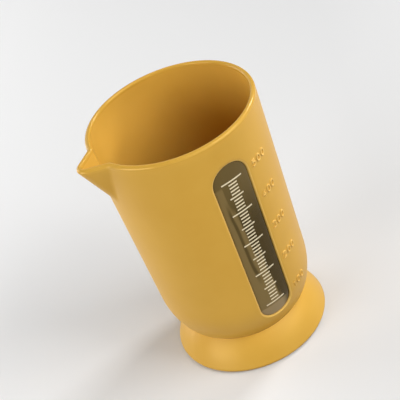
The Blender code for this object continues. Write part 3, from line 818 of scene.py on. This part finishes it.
def marks_tree(wrapping):
    """Repeats a bar up the window at equal volumes and lays the bars on the cup."""
    low = side_radius(LOWEST_MARK) - CUP_WALL
    high = side_radius(HIGHEST_MARK) - CUP_WALL
    tree = new_tree("marks up the window", {
        "Count": ("NodeSocketInt", (HIGHEST_VOLUME - LOWEST_VOLUME) // MARK_STEP + 1),
        "Lowest": ("NodeSocketFloat", LOWEST_MARK * MM),
        "Highest": ("NodeSocketFloat", HIGHEST_MARK * MM),
        "Low bore": ("NodeSocketFloat", low),
        "High bore": ("NodeSocketFloat", high),
        "Bar height": ("NodeSocketFloat", MARK_HEIGHT * MM),
        "Film": ("NodeSocketFloat", INK_FILM * MM),
        "Recess": ("NodeSocketFloat", WINDOW_RECESS * MM),
        "Hundred length": ("NodeSocketFloat", HUNDRED_MARK_LENGTH * MM),
        "Fifty length": ("NodeSocketFloat", FIFTY_MARK_LENGTH * MM),
        "Ten length": ("NodeSocketFloat", TEN_MARK_LENGTH * MM),
        "Material": ("NodeSocketMaterial", None),
    })
    given = add_node(tree, "NodeGroupInput").outputs
    index = add_node(tree, "GeometryNodeInputIndex")
    # Equal volumes in a bore that widens upwards: the bore's cube grows in equal steps
    last = add_node(tree, "ShaderNodeMath", {0: given["Count"], 1: 1.0}, operation="SUBTRACT")
    share = add_node(tree, "ShaderNodeMath", {0: index, 1: last}, operation="DIVIDE")
    low_cube = add_node(tree, "ShaderNodeMath", {0: given["Low bore"], 1: 3.0}, operation="POWER")
    high_cube = add_node(tree, "ShaderNodeMath", {0: given["High bore"], 1: 3.0}, operation="POWER")
    cube = add_node(tree, "ShaderNodeMix", {"Factor": share, 2: low_cube, 3: high_cube})
    bore = add_node(tree, "ShaderNodeMath", {0: cube, 1: 1.0 / 3.0}, operation="POWER")
    wider = add_node(tree, "ShaderNodeMath", {0: bore, 1: given["Low bore"]}, operation="SUBTRACT")
    widest = add_node(tree, "ShaderNodeMath", {
        0: given["High bore"], 1: given["Low bore"]}, operation="SUBTRACT")
    rise = add_node(tree, "ShaderNodeMath", {0: wider, 1: widest}, operation="DIVIDE")
    height = add_node(tree, "ShaderNodeMix", {"Factor": rise, 2: given["Lowest"], 3: given["Highest"]})
    # Every fifth mark from the lowest is a fifty and every tenth a hundred
    of_five = add_node(tree, "ShaderNodeMath", {0: index, 1: 5.0}, operation="MODULO")
    at_fifty = add_node(tree, "ShaderNodeMath", {0: of_five, 1: 0.5}, operation="LESS_THAN")
    of_ten = add_node(tree, "ShaderNodeMath", {0: index, 1: 10.0}, operation="MODULO")
    at_hundred = add_node(tree, "ShaderNodeMath", {0: of_ten, 1: 0.5}, operation="LESS_THAN")
    shorter = add_node(tree, "ShaderNodeMix", {
        "Factor": at_fifty, 2: given["Ten length"], 3: given["Fifty length"]})
    length = add_node(tree, "ShaderNodeMix", {
        "Factor": at_hundred, 2: shorter, 3: given["Hundred length"]})
    row = add_node(tree, "GeometryNodeMeshLine", {"Count": given["Count"], "Offset": (0.0, 0.0, 0.0)})
    half_film = add_node(tree, "ShaderNodeMath", {0: given["Film"], 1: 2.0}, operation="DIVIDE")
    middle = add_node(tree, "ShaderNodeMath", {0: half_film, 1: given["Recess"]}, operation="SUBTRACT")
    at = add_node(tree, "ShaderNodeCombineXYZ", {"X": 0.0, "Y": height, "Z": middle})
    placed = add_node(tree, "GeometryNodeSetPosition", {"Geometry": row, "Position": at})
    bar = add_node(tree, "GeometryNodeMeshCube", {"Size": (1.0, 1.0, 1.0), "Vertices X": MARK_COLUMNS})
    size = add_node(tree, "ShaderNodeCombineXYZ", {
        "X": length, "Y": given["Bar height"], "Z": given["Film"]})
    bars = add_node(tree, "GeometryNodeInstanceOnPoints", {
        "Points": placed, "Instance": bar, "Scale": size})
    whole = add_node(tree, "GeometryNodeRealizeInstances", {"Geometry": bars})
    laid = add_node(tree, "GeometryNodeGroup", node_tree=wrapping)
    tree.links.new(whole.outputs[0], laid.inputs["Geometry"])
    tree.links.new(given["Material"], laid.inputs["Material"])
    add_node(tree, "NodeGroupOutput", {"Geometry": laid})
    return tree


marks_seed = add_object("scale_marks", bpy.data.meshes.new("scale_marks"))
scale_marks = grow(marks_seed, marks_tree(wrapping), Material=cream_ink())
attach(scale_marks, "root")
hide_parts(*[f"mark_{v}" for v in range(LOWEST_VOLUME, HIGHEST_VOLUME + 1, MARK_STEP)])


# Foot
# A flared ring of the same honey-yellow ABS, pushed on to the cup's bottom from below. It is
# hollow underneath and stands on its lower edge.
FOOT_RADIUS = 42.0
FOOT_EDGE_ROUND = 2.0
FOOT_TOP_RADIUS = 33.0
FOOT_CROWN = 0.9
FOOT_WALL = 2.7
FOOT_LEDGE_RADIUS = 27.0
FOOT_LEDGE_THICKNESS = 2.0
FOOT_FIT = 0.3
FOOT_SEAM = 0.06
FOOT_COLUMNS = 192
SKIRT_ROWS = 24


def bulge_height(radius):
    """Height at which the rounded bottom has this outer radius."""
    share = (radius - BULGE_CENTRE) / BULGE_DEPTH
    return BULGE_TOP - BULGE_HEIGHT * math.sqrt(1.0 - share * share)


def foot_profile():
    """Section of the foot, from its top down the outside and back up the inside."""
    bore = SPIGOT_RADIUS + FOOT_FIT
    top = Vector((FOOT_TOP_RADIUS, bulge_height(FOOT_TOP_RADIUS) - FOOT_SEAM))
    run = Vector((FOOT_RADIUS, FOOT_EDGE_ROUND)) - top
    outward = Vector((-run.y, run.x)).normalized()
    skirt = [top + run * share + outward * FOOT_CROWN * math.sin(math.pi * share)
             for share in steps(SKIRT_ROWS)]
    edge_middle = (FOOT_RADIUS - FOOT_EDGE_ROUND, FOOT_EDGE_ROUND)
    edge = arc(edge_middle, (FOOT_EDGE_ROUND,) * 2, 0, -90, ROUND_ROWS)[1:]
    ledge_top = FLOOR_TOP - CUP_WALL - FOOT_FIT
    ledge_bottom = ledge_top - FOOT_LEDGE_THICKNESS
    inner_foot = FOOT_RADIUS - FOOT_EDGE_ROUND - FOOT_WALL
    inner = [(inner_foot, 0.0), (inner_foot + run.x / run.y * ledge_bottom, ledge_bottom)]
    inner += [(FOOT_LEDGE_RADIUS, ledge_bottom), (FOOT_LEDGE_RADIUS, ledge_top)]
    inner += [(bore, ledge_top), (bore, bulge_height(bore) - FOOT_SEAM)]
    return [(p[0], p[1], None) for p in skirt + edge + inner + skirt[:1]]


foot_ring = grow(profile_object("foot_ring", foot_profile()), turned, Columns=FOOT_COLUMNS, Material=honey)
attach(foot_ring, "root")
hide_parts("foot")


# Floor and light
# A matt pale floor that runs out of the picture, in a dim room. Six soft boxes stand round it:
# three high ones on the right and in front, and three low ones on the left and behind.
FLOOR_SIZE = 40.0
FLOOR_PAINTED_LIGHT = "#F3F3F3"
FLOOR_PAINTED_SHADE = "#DBDBDB"
FLOOR_FAR_WAY = (-0.86, 0.51, 0.0)
FLOOR_NEAR_END = -0.09
FLOOR_FAR_END = 0.18
FLOOR_BOUNCE = "#808080"
FLOOR_DULLNESS = 0.9
ROOM_LIGHT = 0.004
# Name, degrees round from the front towards the right, degrees up, metres away, metres wide, watts
SOFT_BOXES = [
    ("side_box", 98.0, 35.0, 1.2, 0.3, 6.6),
    ("key_box", 40.0, 35.0, 1.2, 0.8, 10.6),
    ("front_box", 4.0, 35.0, 1.2, 0.8, 4.2),
    ("left_box", -84.0, 10.0, 1.2, 0.8, 11.8),
    ("back_left_box", -150.0, 15.0, 1.2, 0.8, 7.4),
    ("back_box", 170.0, 15.0, 1.2, 0.8, 1.6),
]

floor_work = bmesh.new()
bmesh.ops.create_grid(floor_work, x_segments=1, y_segments=1, size=FLOOR_SIZE / 2)
floor_mesh = bpy.data.meshes.new("floor")
floor_work.to_mesh(floor_mesh)
floor_work.free()
floor = add_object("floor", floor_mesh)


def studio_paper():
    """Matt paper with painted light: greyer in front and on the right, paler towards the back and the
    left.
    """
    paint, tree, shader, where = new_paint("studio_paper")
    away = add_node(tree, "ShaderNodeVectorMath", {0: where, 1: FLOOR_FAR_WAY}, operation="DOT_PRODUCT")
    # Painted light: a falloff painted into the paper, paler at the back left and greyer in front and on
    # the right
    painted_light_share = add_node(tree, "ShaderNodeMapRange", {
        "Value": away.outputs["Value"], "From Min": FLOOR_NEAR_END, "From Max": FLOOR_FAR_END})
    paper = add_node(tree, "ShaderNodeMix", {
        0: painted_light_share, 6: linear(FLOOR_PAINTED_SHADE), 7: linear(FLOOR_PAINTED_LIGHT)}, data_type="RGBA")
    # It looks as pale as the room behind it, but throws little light back up on the cup
    rays = add_node(tree, "ShaderNodeLightPath").outputs
    mirrored = add_node(tree, "ShaderNodeMath", {
        0: rays["Is Glossy Ray"], 1: rays["Is Transmission Ray"]}, operation="MAXIMUM")
    seen = add_node(tree, "ShaderNodeMath", {
        0: rays["Is Camera Ray"], 1: mirrored}, operation="MAXIMUM")
    tone = add_node(tree, "ShaderNodeMix", {
        0: seen, 6: linear(FLOOR_BOUNCE), 7: paper.outputs[2]}, data_type="RGBA")
    tree.links.new(tone.outputs[2], shader.inputs["Base Color"])
    shader.inputs["Roughness"].default_value = FLOOR_DULLNESS
    return paint


floor_mesh.materials.append(studio_paper())

world = bpy.data.worlds.new("room")
bpy.context.scene.world = world
world.use_nodes = True
world.node_tree.nodes["Background"].inputs["Color"].default_value = (1.0, 1.0, 1.0, 1.0)
world.node_tree.nodes["Background"].inputs["Strength"].default_value = ROOM_LIGHT

for name, azimuth, elevation, distance, width, power in SOFT_BOXES:
    lamp = bpy.data.lights.new(name, "AREA")
    lamp.shape = "SQUARE"
    lamp.size = width
    lamp.energy = power
    box = add_object(name, lamp)
    turn, rise = math.radians(azimuth), math.radians(elevation)
    out = Vector((math.sin(turn) * math.cos(rise), -math.cos(turn) * math.cos(rise), math.sin(rise)))
    box.location = out * distance + Vector((0.0, 0.0, CUP_HEIGHT / 2 * MM))
    box.rotation_mode = "QUATERNION"
    box.rotation_quaternion = (-out).to_track_quat("-Z", "Y")

bpy.context.scene.view_settings.view_transform = "Standard"
